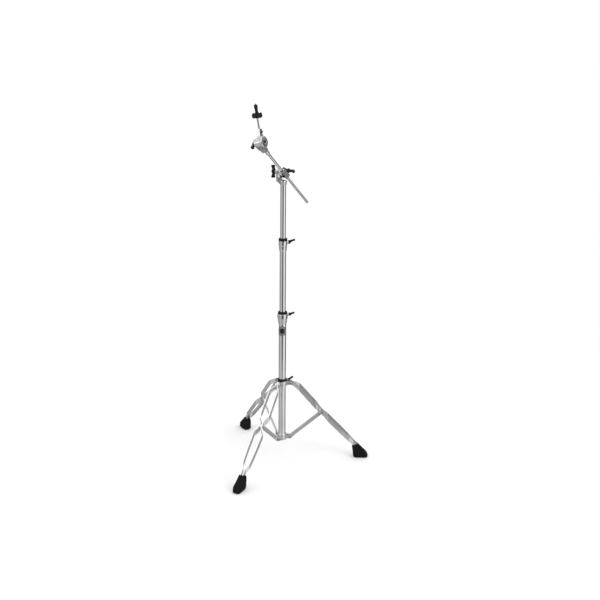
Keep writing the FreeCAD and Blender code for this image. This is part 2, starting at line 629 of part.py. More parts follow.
# round badge wrapped on the main tube
az = -98.0
rb = D["base_tube_rad"]
sh = Part.makeCylinder(rb + 0.9, 60, V(0, 0, 532)).cut(Part.makeCylinder(rb, 60, V(0, 0, 532)))
band = []
for k in range(49):
    a = 2 * pi * k / 48
    s_, zz = D["badge_rad"] * cos(a), 562.0 + D["badge_rad"] * sin(a)
    th = radians(az) + s_ / rb
    band.append((th, zz))
inner = [V((rb - 4) * cos(t), (rb - 4) * sin(t), z) for t, z in band]
outer = [V((rb + 6) * cos(t), (rb + 6) * sin(t), z) for t, z in band]
w1 = Part.makePolygon(inner)
w2 = Part.makePolygon(outer)
cutter = Part.makeLoft([w1, w2], True, True)
solid("badge", sh.common(cutter))

# ---------------------------------------------------------------------------
# Boom: base casting on the upper tube, hinged rod clamp, rod
# ---------------------------------------------------------------------------
ba, be = radians(D["boom_azimuth"]), radians(D["boom_rise"])
bh = V(cos(ba), sin(ba), 0)                       # horizontal heading of the boom
hx = V(-bh.y, bh.x, 0)                            # hinge axis
if hx.x < 0:
    hx = hx * -1                                  # points right and to the front
bd = bh * cos(be) + V(0, 0, 1) * sin(be)          # rod direction, towards the tilter
kd = bh * (-sin(be)) + V(0, 0, 1) * cos(be)       # up, square to the rod
H0 = V(0, 0, D["boom_hinge_z"])
# the rod's axis crosses the hinge axis, so RC is both the clamp centre and H0


def xyz(v):
    return (v.x, v.y, v.z)


b = new_body("boom_base", frame((0, 0, 0), (0, 0, 1), xyz(bh)))
# tapered receiver that sits on the tube's end
revolve(b, [(0, "top_tube_top - 12"), ("top_tube_rad + 1.5", "top_tube_top - 12"), ("top_tube_rad + 3.0", "top_tube_top - 5"), ("top_tube_rad + 3.9", "top_tube_top - 0.5"),
            ("top_tube_rad + 3.4", "top_tube_top + 2.2"), ("top_tube_rad + 1.4", "top_tube_top + 3.5"), (0, "top_tube_top + 3.5")])
# ear beside the rod clamp on a short arm; local Y is the hinge axis
ear = [(-9.5, "top_tube_top - 4"), (9.5, "top_tube_top - 4"), (11.5, "top_tube_top + 8"), (13.4, "boom_hinge_z - 6"), (14.2, "boom_hinge_z"), (13.1, "boom_hinge_z + 5.6"), (10.0, "boom_hinge_z + 10"), (5.4, "boom_hinge_z + 13.1"),
       (0, "boom_hinge_z + 14.2"), (-5.4, "boom_hinge_z + 13.1"), (-10.0, "boom_hinge_z + 10"), (-13.1, "boom_hinge_z + 5.6"), (-14.2, "boom_hinge_z"), (-13.4, "boom_hinge_z - 6"), (-11.5, "top_tube_top + 8")]
pad(b, "YZ_Plane", [[(-4, "top_tube_top - 11"), (-12.5, "top_tube_top - 10"), (-27.9, "top_tube_top - 1"), (-27.9, "top_tube_top + 12"), (-17, "top_tube_top + 12"), (-17, "top_tube_top + 4.5"), (-4, "top_tube_top + 4.5")]],
    19.0, midplane=True, name="Arm")
pad(b, "XZ_Plane", [ear], 11.0, offset=17.0, name="Ear")
pad(b, "XZ_Plane", [(0, "boom_hinge_z", 8.6)], 12.0, offset=26.0, name="EarBoss")
pocket(b, "XZ_Plane", [(0, "boom_hinge_z", "wing_screw_rad + 0.06")], 60, offset=45.0, name="HingeBore")
pocket(b, "XY_Plane", [(0, 0, "top_tube_rad")], 40, offset="top_tube_top", name="TubeSocket")
pocket(b, "YZ_Plane", [(0, "top_tube_top - 7", 1.5)], 60, midplane=True, name="PinHole")

# pin that fastens the casting to the tube
pz_ = D["top_tube_top"] - 7.0
solid("boom_base_pin", Part.makeCylinder(1.5, 26.4, V(0, 0, 0), V(0, 0, 1)), frame((-13.2 * bh.x, -13.2 * bh.y, pz_), xyz(bh)))

# friction washer between the ear and the block
solid("boom_hinge_washer", Part.makeCylinder(12.2, 1.0).cut(Part.makeCylinder(D["wing_screw_rad"] + 0.06, 1.0)), frame(xyz(H0 - hx * 16.96), xyz(hx)))

# rod clamp block: local X along the rod, local Z along the hinge axis
blk = new_body("boom_block", frame(xyz(H0), xyz(hx), xyz(bd)))
# in this frame local Y is +/- kd
ysg = 1.0 if V(*xyz(hx)).cross(bd).dot(kd) > 0 else -1.0
yy = lambda v: v * ysg
pad(blk, "XY_Plane", [(0, 0, 12.5)], 12.0, offset=-15.9, name="Disc")
pad(blk, "XY_Plane", [[(-27.0, yy(-2.0)), (-25.0, yy(-6.0)), (-20.0, yy(-10.2)), (9.0, yy(-10.2)), (12.4, yy(-7.0)), (12.4, yy(8.0)), (9.0, yy(11.4)), (-24.6, yy(11.4)), (-27.0, yy(9.0))]],
    19.2, offset=-9.6, name="Block")
pocket(blk, "YZ_Plane", [(0, 0, "boom_rod_rad + 1.25")], 90, midplane=True, name="RodBore")
pocket(blk, "XY_Plane", [(0, 0, "wing_screw_rad + 0.06")], 7.8, offset=-17, reverse=True, name="HingeThread")
pocket(blk, "XZ_Plane", [(-16.0, 0, "wing_screw_rad + 0.06")], 20, offset=-yy(20), reverse=(ysg > 0), name="ClampThread")

# split bush round the rod, turns with it in the clamp
RC = H0
ru = D["boom_rod_rad"]
bs = new_body("boom_rod_bush", frame(xyz(RC), xyz(bd), xyz(hx)))
revolve(bs, [("boom_rod_rad + run_gap", -29.0), ("boom_rod_rad + 2.2", -29.0), ("boom_rod_rad + 2.2", -27.2), ("boom_rod_rad + 1.2", -27.2), ("boom_rod_rad + 1.2", 13.4), ("boom_rod_rad + run_gap", 13.4)])

# clamp screw that closes the bush on the rod
wing_screw("boom_clamp_screw", "boom_clamp_wing", spin(frame(xyz(RC - bd * 16.0 + kd * 12.4), xyz(kd), xyz(hx)), 8.0), 12.4 - 6.56, half=28.0, thick=8.0, hub_len=17.0, hub_rad=6.2, sweep=3.0, tip=6.0)
# hinge screw with its T handle on the far side of the ear
wing_screw("boom_hinge_screw", "boom_hinge_wing", frame(xyz(H0 - hx * 39.0), xyz(hx * -1), (0, 0, 1)), 39.0 - 9.3, half=24.5, thick=9.0, hub_len=22.0, hub_rad=6.2, sweep=5.5, tip=6.6)

# boom rod
T_S = 171.0                      # clamp centre to tilter hinge along the rod
ROD_LOW = -186.5
TAIL = ROD_LOW + 150.0            # the knurled tail is turned a little under
ROD_TOP = 137.5
rod = new_body("boom_rod", frame(xyz(RC), xyz(bd), xyz(hx)))
revolve(rod, [(0, ROD_LOW), ("boom_rod_rad - 0.25", ROD_LOW), ("boom_rod_rad - 0.25", TAIL), ("boom_rod_rad", TAIL), ("boom_rod_rad", ROD_TOP), (0, ROD_TOP)])
T0 = RC + bd * T_S

# ---------------------------------------------------------------------------
# Tilter
# ---------------------------------------------------------------------------
nd = V(0.815, -0.52, 0.26)
nd = (nd - bd * nd.dot(bd)).normalize()           # tilter hinge axis, square to the rod
pd = V(-0.160, 0.231, 0.960)
pd = (pd - nd * pd.dot(nd)).normalize()           # cymbal post direction
qd = nd.cross(pd)
# base casting: socket on the rod, then the near half of the joint; local Z = hinge axis, local X = rod direction
tb = new_body("tilter_base", frame(xyz(T0), xyz(nd), xyz(bd)))
pad(tb, "XY_Plane", [(0, 0, 17.5)], 6.0, offset=-13.5, name="Cheek")
pad(tb, "XY_Plane", [[(-44, -7.2), (-34, -8.6), (-19.0, -14.5), (-8, -15.5), (-8, 15.5), (-19.0, 14.5), (-34, 8.6), (-44, 7.2)]], 6.0, offset=-13.5, name="Shank")
pad(tb, "XY_Plane", [[(-46, -7.4), (-27, -8.8), (-24.2, -9.2), (-24.2, 9.2), (-27, 8.8), (-46, 7.4)]], 21.0, offset=-13.5, name="Neck")
pocket(tb, "YZ_Plane", [(0, 0, "boom_rod_rad")], 14.6, offset=-48, reverse=True, name="RodSocket")
pocket(tb, "XY_Plane", [(0, 0, "wing_screw_rad + 0.06")], 60, offset=-30, reverse=True, name="HingeBore")
fer = new_body("boom_ferrule", frame(xyz(RC), xyz(bd), xyz(hx)))
revolve(fer, [("boom_rod_rad", T_S - 62), ("boom_rod_rad + 1.6", T_S - 62), ("boom_rod_rad + 2.6", T_S - 58), ("boom_rod_rad + 2.6", T_S - 46.2), ("boom_rod_rad", T_S - 46.2)])

tw = new_body("tilter_washer", frame(xyz(T0), xyz(nd), xyz(bd)))
revolve(tw, [("wing_screw_rad + 0.06", -7.45), (16.5, -7.45), (16.5, -6.35), ("wing_screw_rad + 0.06", -6.35)])

# arm casting: hinge disc and the post's socket; local Z = hinge axis, local X = post direction
PO = 7.7                                          # post offset along the hinge axis
ta = new_body("tilter_arm", frame(xyz(T0), xyz(nd), xyz(pd)))
pad(ta, "XY_Plane", [(0, 0, 18.5)], 20.3, offset=-6.3, name="Barrel")
pad(ta, "XY_Plane", [[(4, -14), (22, -10.0), (34, -8.2), (50, -7.4), (50, 7.4), (34, 8.2), (22, 10.0), (4, 14)]], 12.6, offset=PO - 6.3, name="Holder")
pocket(ta, "YZ_Plane", [(0, PO, "post_rad")], 28.0, offset=52, name="PostSocket")
pocket(ta, "XY_Plane", [(0, 0, "wing_screw_rad + 0.06")], 60, offset=-30, reverse=True, name="HingeBore")
td = new_body("tilter_disc", frame(xyz(T0), xyz(nd), xyz(pd)))
revolve(td, [("wing_screw_rad + 0.06", 14.0), (20.5, 14.0), ("tilter_disc_rad", 16.5), ("tilter_disc_rad", 21.5), ("tilter_disc_rad - 2.2", 24.0), (11.0, 25.6), (8.0, 25.6), (7.0, 23.0), ("wing_screw_rad + 0.06", 23.0)])
# through bolt with a hexagon head in the disc's recess
hb = new_body("tilter_bolt", frame(xyz(T0), xyz(nd), xyz(pd)))
revolve(hb, [(0, -31.5), ("wing_screw_rad", -31.5), ("wing_screw_rad", 23.0), (0, 23.0)])
hexa = [(5.2 * cos(radians(60 * k)), 5.2 * sin(radians(60 * k))) for k in range(6)]
pad(hb, "XY_Plane", [hexa], 3.6, offset=23.0, name="Head")
h = new_body("tilter_wing", spin(frame(xyz(T0 - nd * 14.2), xyz(nd * -1), xyz(pd)), 44.0))
revolve(h, [(0, 0), (5.8, 0), (6.6, 0.8), (6.6, 12), (5.0, 15), (0, 15)])
pad(h, "XZ_Plane", [[(x, y + 8) for x, y in wing_outline(21.5, 6.0, 5.8, 2.6, 3.2)]], 9.0, midplane=True, name="Lobes")
pocket(h, "XY_Plane", [(0, 0, "wing_screw_rad + 0.06")], 60, offset=-5, reverse=True, name="ScrewHole")
# small knurled screw that locks the post
sk = T0 + pd * 38.0 + nd * (PO + 6.5)
wk_ = new_body("post_lock_screw", frame(xyz(sk), xyz(nd), xyz(pd)))
revolve(wk_, [(0, -3.0), (2.0, -3.0), (2.0, 0.0), (4.6, 0.0), (4.6, 5.0), (4.0, 5.8), (0, 5.8)])
s = ta.newObject("Sketcher::SketchObject", "LockHole_sketch")
s.AttachmentSupport = (plane(ta, "XY_Plane"), [""])
s.MapMode = "FlatFace"
s.AttachmentOffset = FreeCAD.Placement(V(0, 0, PO + 12), FreeCAD.Rotation())
circle(s, 38.0, 0, 2.06)
feature(ta, "Pocket", s, 12.0, False, False, "LockHole")

# ---------------------------------------------------------------------------
# Cymbal post, seat and top nut; local Z along the post
# ---------------------------------------------------------------------------
P0 = T0 + nd * PO
post = new_body("cymbal_post", frame(xyz(P0), xyz(pd), xyz(nd)))
revolve(post, [(0, 24.0), ("post_rad", 24.0), ("post_rad", 88.0), (2.9, 88.6), (2.9, 141.0), (2.2, 142.6), (0, 142.6)])
sw = new_body("seat_wing_nut", frame(xyz(P0 + pd * 90.0), xyz(pd), xyz(V(1, 0.25, 0))))
revolve(sw, [(2.96, 0), (6.2, 0), (7.0, 0.8), (7.0, 17.4), (6.0, 18.6), (2.96, 18.6)])
lob = [(4.5, 2.6), (12.5, 0.6), (16.5, 2.0), (18.2, 6.5), (18.2, 12.5), (16.6, 17.0), (12.5, 18.4), (9.5, 16.6), (4.5, 17.4)]
pad(sw, "XZ_Plane", [lob], 9.5, midplane=True, name="LobeA")
pad(sw, "XZ_Plane", [[(-x, z) for x, z in reversed(lob)]], 9.5, midplane=True, name="LobeB")
pocket(sw, "XY_Plane", [(0, 0, 2.96)], 60, offset=-5, reverse=True, name="Thread")
cs = new_body("cymbal_sleeve", frame(xyz(P0 + pd * 110.6), xyz(pd), xyz(nd)))
revolve(cs, [(2.96, 0), (6.6, 0), (6.6, 1.6), (5.6, 2.4), (5.6, 14.6), (5.2, 15.0), (2.96, 15.0)])
tn = new_body("top_nut", frame(xyz(P0 + pd * 126.0), xyz(pd), xyz(nd)))
revolve(tn, [(2.96, 0), (6.2, 0), (7.0, 0.9), (7.0, 10.0), (5.4, 12.6), (2.96, 12.6)])

# ---------------------------------------------------------------------------
# Check and write
# ---------------------------------------------------------------------------
doc.recompute()
bad = []
for o in doc.Objects:
    if any(word in ("Invalid", "Error") for word in o.State):
        bad.append("%s: %s" % (o.Label, o.State))
for o in NODES:
    if o.Shape.isNull() or not o.Shape.isValid() or not o.Shape.Solids:
        bad.append("%s: no valid solid" % o.Label)
if bad:
    raise RuntimeError("; ".join(bad))
os.makedirs("parts", exist_ok=True)
for o in NODES:
    o.Shape.exportStep("parts/%s.step" % o.Label)
    print("%-24s solids %d  volume %10.1f" % (o.Label, len(o.Shape.Solids), o.Shape.Volume))
print(len(NODES), "nodes")
print("RC", RC, "bd", bd, "hx", hx, "kd", kd)
print("T0", T0, "nd", nd, "pd", pd, "P0", P0)
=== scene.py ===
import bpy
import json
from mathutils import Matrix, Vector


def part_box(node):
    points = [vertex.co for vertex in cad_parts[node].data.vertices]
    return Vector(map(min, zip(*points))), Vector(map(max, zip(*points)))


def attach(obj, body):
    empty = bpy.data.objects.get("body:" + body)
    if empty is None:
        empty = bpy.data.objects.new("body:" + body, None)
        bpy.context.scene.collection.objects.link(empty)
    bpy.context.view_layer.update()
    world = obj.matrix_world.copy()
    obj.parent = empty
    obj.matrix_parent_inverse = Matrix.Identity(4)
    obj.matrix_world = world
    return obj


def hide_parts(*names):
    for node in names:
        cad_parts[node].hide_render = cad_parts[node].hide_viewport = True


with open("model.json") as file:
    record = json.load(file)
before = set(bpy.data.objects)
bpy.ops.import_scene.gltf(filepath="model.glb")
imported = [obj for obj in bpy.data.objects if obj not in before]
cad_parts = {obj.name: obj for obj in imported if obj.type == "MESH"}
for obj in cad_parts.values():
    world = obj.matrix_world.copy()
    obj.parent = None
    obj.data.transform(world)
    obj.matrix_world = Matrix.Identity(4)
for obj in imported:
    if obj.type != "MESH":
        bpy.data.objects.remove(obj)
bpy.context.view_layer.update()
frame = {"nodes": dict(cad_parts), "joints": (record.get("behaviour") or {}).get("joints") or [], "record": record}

import bpy, bmesh, json, math
from math import sin, cos, pi, radians
from mathutils import Vector, Matrix, Quaternion

scene = bpy.context.scene
nodes = frame["nodes"]
rec = frame["record"]
JOINT = {j["name"]: j for j in frame["joints"]}
SLOT = {s["node"]: s["material_slot"] for s in rec["subparts"]}


# ---------------------------------------------------------------------------
# node helpers
# ---------------------------------------------------------------------------
class Mat:
    """Small builder around one Principled material."""

    def __init__(self, name):
        self.m = bpy.data.materials.new(name)
        self.m.use_nodes = True
        self.t = self.m.node_tree
        self.n = self.t.nodes
        self.l = self.t.links
        self.b = self.n["Principled BSDF"]

    def add(self, kind, **kw):
        x = self.n.new(kind)
        for k, v in kw.items():
            if k.startswith("i_"):
                x.inputs[k[2:].replace("_", " ")].default_value = v
            else:
                setattr(x, k, v)
        return x

    def link(self, a, b):
        self.l.new(a, b)

    def coords(self, scale=(1, 1, 1), rot=(0, 0, 0)):
        tc = self.add("ShaderNodeTexCoord")
        mp = self.add("ShaderNodeMapping")
        mp.inputs["Scale"].default_value = scale
        mp.inputs["Rotation"].default_value = rot
        self.link(tc.outputs["Object"], mp.inputs["Vector"])
        return mp.outputs["Vector"]

    def noise(self, vec, scale, detail=4.0, rough=0.55, distort=0.0):
        x = self.add("ShaderNodeTexNoise")
        x.inputs["Scale"].default_value = scale
        x.inputs["Detail"].default_value = detail
        x.inputs["Roughness"].default_value = rough
        x.inputs["Distortion"].default_value = distort
        self.link(vec, x.inputs["Vector"])
        return x.outputs["Fac"]

    def ramp(self, fac, stops, interp="LINEAR"):
        x = self.add("ShaderNodeValToRGB")
        x.color_ramp.interpolation = interp
        e = x.color_ramp.elements
        while len(e) > 1:
            e.remove(e[-1])
        e[0].position, e[0].color = stops[0][0], (*stops[0][1], 1) if len(stops[0][1]) == 3 else stops[0][1]
        for p, c in stops[1:]:
            k = e.new(p)
            k.color = (*c, 1) if len(c) == 3 else c
        self.link(fac, x.inputs["Fac"])
        return x.outputs["Color"]

    def rng(self, fac, lo, hi, a=0.0, b=1.0):
        x = self.add("ShaderNodeMapRange")
        for k, v in (("From Min", a), ("From Max", b), ("To Min", lo), ("To Max", hi)):
            x.inputs[k].default_value = v
        self.link(fac, x.inputs["Value"])
        return x.outputs["Result"]

    def math(self, op, a, b=None):
        x = self.add("ShaderNodeMath", operation=op)
        for i, v in enumerate((a, b)):
            if v is None:
                continue
            if isinstance(v, (int, float)):
                x.inputs[i].default_value = v
            else:
                self.link(v, x.inputs[i])
        return x.outputs[0]

    def bump(self, height, strength, distance, normal=None):
        x = self.add("ShaderNodeBump")
        x.inputs["Strength"].default_value = strength
        x.inputs["Distance"].default_value = distance
        self.link(height, x.inputs["Height"])
        if normal is not None:
            self.link(normal, x.inputs["Normal"])
        return x.outputs["Normal"]

    def set(self, **kw):
        for k, v in kw.items():
            sock = self.b.inputs[k.replace("_", " ")]
            if isinstance(v, (int, float)):
                sock.default_value = v
            elif isinstance(v, (tuple, list)):
                sock.default_value = (*v, 1) if len(v) == 3 and len(sock.default_value) == 4 else v
            else:
                self.link(v, sock)
        return self


def chrome(name, base=(0.80, 0.81, 0.82), dark=(0.70, 0.71, 0.72), rough=(0.035, 0.10), brush=None, brush_strength=0.05, pits=0.0, orange=0.0):
    """Plated steel: slight tone drift, fine polishing lines along one direction, faint fingerprints in the roughness."""
    k = Mat(name)
    v = k.coords()
    drift = k.noise(v, 9.0, 3.0)
    k.set(Base_Color=k.ramp(drift, [(0.30, dark), (0.72, base)]), Metallic=1.0)
    smear = k.noise(k.coords((1, 1, 0.35)), 38.0, 6.0, 0.6, 0.6)
    r = k.rng(smear, rough[0], rough[1], 0.35, 0.75)
    if brush:
        lines = k.noise(k.coords(brush), 900.0, 2.0, 0.5)
        r = k.math("ADD", r, k.rng(lines, 0.0, 0.05, 0.4, 0.7))
        n = k.bump(lines, brush_strength, 0.00004)
    else:
        n = None
    if orange:
        peel = k.noise(v, 260.0, 2.0, 0.5)
        n = k.bump(peel, orange, 0.0002, n)
    if pits:
        spots = k.add("ShaderNodeTexVoronoi")
        spots.inputs["Scale"].default_value = 420.0
        k.link(v, spots.inputs["Vector"])
        n = k.bump(k.rng(spots.outputs["Distance"], 0.0, 1.0, 0.0, 0.22), pits, 0.0001, n)
    k.set(Roughness=r)
    if n is not None:
        k.set(Normal=n)
    return k.m


def plastic(name, base, light, rough=(0.34, 0.5), grain=0.25, grain_scale=1500.0, coat=0.0):
    """Moulded black plastic: spark-eroded grain, slight sheen variation and paler rubbed edges."""
    k = Mat(name)
    v = k.coords()
    mott = k.noise(v, 60.0, 4.0)
    geo = k.add("ShaderNodeNewGeometry")
    edge = k.rng(geo.outputs["Pointiness"], 0.0, 1.0, 0.52, 0.62)
    mix = k.add("ShaderNodeMix", data_type="RGBA")
    k.link(k.math("MULTIPLY", edge, k.rng(mott, 0.15, 0.8)), mix.inputs["Factor"])
    k.link(k.ramp(mott, [(0.3, base), (0.75, tuple(c * 1.5 for c in base))]), mix.inputs["A"])
    mix.inputs["B"].default_value = (*light, 1)
    k.set(Base_Color=mix.outputs["Result"], Roughness=k.rng(mott, rough[0], rough[1], 0.3, 0.7))
    g = k.noise(v, grain_scale, 3.0, 0.6)
    k.set(Normal=k.bump(g, grain, 0.00006), Coat_Weight=coat)
    k.set(Specular_IOR_Level=0.22)
    return k.m


def rubber(name, base, dust, rough=(0.62, 0.85), grain=0.5):
    k = Mat(name)
    v = k.coords()
    cloud = k.noise(v, 34.0, 6.0, 0.65)
    fine = k.noise(v, 900.0, 3.0, 0.6)
    geo = k.add("ShaderNodeNewGeometry")
    edge = k.rng(geo.outputs["Pointiness"], 0.0, 1.0, 0.5, 0.6)
    mix = k.add("ShaderNodeMix", data_type="RGBA")
    k.link(k.math("MULTIPLY", k.rng(cloud, 0.0, 1.0, 0.4, 0.75), k.math("ADD", edge, 0.12)), mix.inputs["Factor"])
    mix.inputs["A"].default_value = (*base, 1)
    mix.inputs["B"].default_value = (*dust, 1)
    k.set(Base_Color=mix.outputs["Result"], Roughness=k.rng(cloud, rough[0], rough[1], 0.3, 0.7), Specular_IOR_Level=0.18)
    k.set(Normal=k.bump(fine, grain, 0.00012))
    return k.m


M = {
    "chrome_tube": chrome("chrome_tube", base=(0.80, 0.80, 0.80), dark=(0.72, 0.72, 0.72), rough=(0.05, 0.11), brush=(1, 1, 0.02), brush_strength=0.03),
    "chrome_rod": chrome("chrome_rod", base=(0.66, 0.66, 0.66), dark=(0.56, 0.56, 0.56), rough=(0.12, 0.2), brush=(1, 1, 0.05), brush_strength=0.08),
    "satin_chrome": chrome("satin_chrome", base=(0.76, 0.76, 0.76), dark=(0.64, 0.64, 0.64), rough=(0.14, 0.24), orange=0.15),
    "chrome_casting": chrome("chrome_casting", base=(0.80, 0.795, 0.785), dark=(0.56, 0.555, 0.545), rough=(0.05, 0.11), orange=0.30, pits=0.05),
    "leg_chrome": chrome("leg_chrome", base=(0.84, 0.84, 0.84), dark=(0.72, 0.72, 0.72), rough=(0.30, 0.42), orange=0.10),
    "rivet_steel": chrome("rivet_steel", base=(0.42, 0.42, 0.42), dark=(0.26, 0.26, 0.26), rough=(0.2, 0.34), pits=0.12),
    "screw_steel": chrome("screw_steel", base=(0.14, 0.14, 0.14), dark=(0.07, 0.07, 0.07), rough=(0.26, 0.4), pits=0.1),
    "black_handle": plastic("black_handle", (0.0030, 0.0030, 0.0032), (0.03, 0.03, 0.03)),
    "black_nylon": plastic("black_nylon", (0.0035, 0.0035, 0.0037), (0.03, 0.03, 0.03), rough=(0.4, 0.55), grain=0.12),
    "sleeve_rubber": rubber("sleeve_rubber", (0.006, 0.006, 0.006), (0.04, 0.04, 0.04), grain=0.25),
    "foot_rubber": rubber("foot_rubber", (0.0030, 0.0030, 0.0031), (0.028, 0.028, 0.028)),
    "badge_gloss": plastic("badge_gloss", (0.0025, 0.0025, 0.003), (0.02, 0.02, 0.02), rough=(0.12, 0.2), grain=0.02, coat=0.3),
}
RCv, BDv, KDv, HXv = Vector(JOINT["boom_tilt"]["pos_m"]), Vector(JOINT["boom_reach"]["axis"]), Vector(JOINT["boom_clamp_screw_turn"]["axis"]), Vector(JOINT["boom_tilt"]["axis"])


def dot_with(k, v, direction, origin):
    sub = k.add("ShaderNodeVectorMath", operation="SUBTRACT")
    k.link(v, sub.inputs[0])
    sub.inputs[1].default_value = tuple(origin)
    d = k.add("ShaderNodeVectorMath", operation="DOT_PRODUCT")
    k.link(sub.outputs["Vector"], d.inputs[0])
    d.inputs[1].default_value = tuple(direction)
    return d.outputs["Value"]


def knurled_rod():
    """Boom rod: smooth plated upper half, crossed helical knurl on the tail."""
    m = chrome("chrome_rod_knurl", base=(0.66, 0.66, 0.66), dark=(0.56, 0.56, 0.56), rough=(0.12, 0.2), brush=(1, 1, 0.05), brush_strength=0.05)
    k = Mat.__new__(Mat)
    k.m, k.t = m, m.node_tree
    k.n, k.l, k.b = k.t.nodes, k.t.links, k.t.nodes["Principled BSDF"]
    tc = k.add("ShaderNodeTexCoord")
    v = tc.outputs["Object"]
    sx = dot_with(k, v, BDv, RCv)
    a = k.math("ARCTAN2", dot_with(k, v, KDv, RCv), dot_with(k, v, HXv, RCv))
    w = []
    for sg in (1, -1):
        ph = k.math("ADD", k.math("MULTIPLY", a, 20.0), k.math("MULTIPLY", sx, sg * 2 * pi * 620.0))
        w.append(k.math("SINE", ph))
    grid = k.math("MAXIMUM", w[0], w[1])
    tail = k.rng(sx, 1.0, 0.0, -0.0368, -0.0362)
    h = k.math("MULTIPLY", grid, tail)
    n = k.bump(h, 0.55, 0.00022)
    k.link(n, k.b.inputs["Normal"])
    return m


def threaded(name, direction, origin, lo, hi, pitch=0.001):
    m = chrome(name, base=(0.36, 0.36, 0.36), dark=(0.27, 0.27, 0.27), rough=(0.24, 0.34))
    k = Mat.__new__(Mat)
    k.m, k.t = m, m.node_tree
    k.n, k.l, k.b = k.t.nodes, k.t.links, k.t.nodes["Principled BSDF"]
    v = k.add("ShaderNodeTexCoord").outputs["Object"]
    sx = dot_with(k, v, direction, origin)
    wave = k.math("SINE", k.math("MULTIPLY", sx, 2 * pi / pitch))
    inside = k.math("MULTIPLY", k.rng(sx, 0.0, 1.0, lo, lo + 0.0004), k.rng(sx, 1.0, 0.0, hi, hi + 0.0004))
    k.link(k.bump(k.math("MULTIPLY", wave, inside), 0.8, 0.0003), k.b.inputs["Normal"])
    return m


def badge_paint():
    """Dark glossy badge with a plain pale ring and a thin inner ring, no lettering."""
    m = M["badge_gloss"].copy()
    m.name = "badge_ring"
    k = Mat.__new__(Mat)
    k.m, k.t = m, m.node_tree
    k.n, k.l, k.b = k.t.nodes, k.t.links, k.t.nodes["Principled BSDF"]
    v = k.add("ShaderNodeTexCoord").outputs["Object"]
    lo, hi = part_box("badge")
    mid = (lo + hi) / 2
    az = radians(-98.0)
    side = Vector((-sin(az), cos(az), 0))
    out_ = Vector((cos(az), sin(az), 0))
    # arc length round the tube: angle times radius
    a = k.math("ARCTAN2", dot_with(k, v, side, (0, 0, mid.z)), dot_with(k, v, out_, (0, 0, mid.z)))
    x = k.math("MULTIPLY", a, 0.0155)
    y = dot_with(k, v, (0, 0, 1), (0, 0, mid.z))
    r = k.math("SQRT", k.math("ADD", k.math("MULTIPLY", x, x), k.math("MULTIPLY", y, y)))
    ring = k.ramp(k.math("MULTIPLY", r, 40.0), [(0.0, (0, 0, 0)), (0.455, (0, 0, 0)), (0.47, (1, 1, 1)), (0.50, (1, 1, 1)), (0.515, (0, 0, 0)), (0.600, (0, 0, 0)), (0.615, (1, 1, 1)), (0.675, (1, 1, 1)), (0.69, (0, 0, 0))])
    mix = k.add("ShaderNodeMix", data_type="RGBA")
    old = k.b.inputs["Base Color"].links[0].from_socket
    k.link(ring, mix.inputs["Factor"])
    k.link(old, mix.inputs["A"])
    mix.inputs["B"].default_value = (0.36, 0.36, 0.36, 1)
    k.link(mix.outputs["Result"], k.b.inputs["Base Color"])
    return m


for n, o in nodes.items():
    o.data.materials.clear()
    o.data.materials.append(M[SLOT[n]])
nodes["boom_rod"].data.materials[0] = knurled_rod()
PDv = Vector(JOINT["seat_wing_turn"]["axis"])
nodes["cymbal_post"].data.materials[0] = threaded("chrome_post_thread", PDv, Vector(JOINT["seat_wing_turn"]["pos_m"]), -0.001, 0.060)
nodes["badge"].data.materials[0] = badge_paint()

# ---------------------------------------------------------------------------
# rounded edges on the metal pieces, moulded shapes for the plastic and rubber
# ---------------------------------------------------------------------------
def soft_edges(name, width, segments=3, angle=32):
    o = nodes[name]
    wd = o.modifiers.new("weld", "WELD")
    wd.merge_threshold = 2e-5
    bv = o.modifiers.new("bevel", "BEVEL")
    bv.width = width
    bv.segments = segments
    bv.limit_method = "ANGLE"
    bv.angle_limit = radians(angle)
    bv.use_clamp_overlap = True
    bv.harden_normals = False
    wn = o.modifiers.new("normals", "WEIGHTED_NORMAL")
    wn.keep_sharp = False
    wn.weight = 60
    for p in o.data.polygons:
        p.use_smooth = True


def moulded(name, voxel, rounds, factor=0.5):
    o = nodes[name]
    rm = o.modifiers.new("mould", "REMESH")
    rm.mode = "VOXEL"
    rm.voxel_size = voxel
    rm.use_smooth_shade = True
    sm = o.modifiers.new("polish", "SMOOTH")
    sm.factor = factor
    sm.iterations = rounds


for n in nodes:
    if n.startswith("leg_") and "_bar_" in n:
        soft_edges(n, 0.0011)
    elif n.startswith("strut_"):
        soft_edges(n, 0.0009)
    elif n in ("leg_collar", "base_hub", "boom_block", "boom_base", "tilter_base", "tilter_arm"):
        soft_edges(n, 0.0009)
    elif n in ("middle_clamp", "upper_clamp", "tilter_disc", "boom_ferrule", "collar_bush", "middle_bush", "upper_bush"):
        soft_edges(n, 0.0005)
    elif n in ("base_tube", "middle_tube", "upper_tube", "boom_rod", "cymbal_post"):
        soft_edges(n, 0.00035, 2, 50)
    elif n.startswith("foot_"):
        moulded(n, 0.0011, 14)
    elif n.endswith("_wing") or n == "seat_wing_nut":
        moulded(n, 0.00045, 4)
        fat = nodes[n].modifiers.new("fill_out", "DISPLACE")
        fat.strength = 0.0007
        fat.mid_level = 0.0

# --------------------------------------------------------------------------- moulded top nut and turned lock-screw head, built as meshes in the place of the plain CAD ones
# moulded handles and nuts, built as meshes in the place of the plain CAD ones
# ---------------------------------------------------------------------------
def place(origin, z, x, spin=0.0):
    z = Vector(z).normalized()
    x = Vector(x)
    x = (x - z * x.dot(z)).normalized()
    y = z.cross(x)
    a = radians(spin)
    x, y = x * cos(a) + y * sin(a), y * cos(a) - x * sin(a)
    return Matrix(((x.x, y.x, z.x, origin[0]), (x.y, y.y, z.y, origin[1]), (x.z, y.z, z.z, origin[2]), (0, 0, 0, 1)))


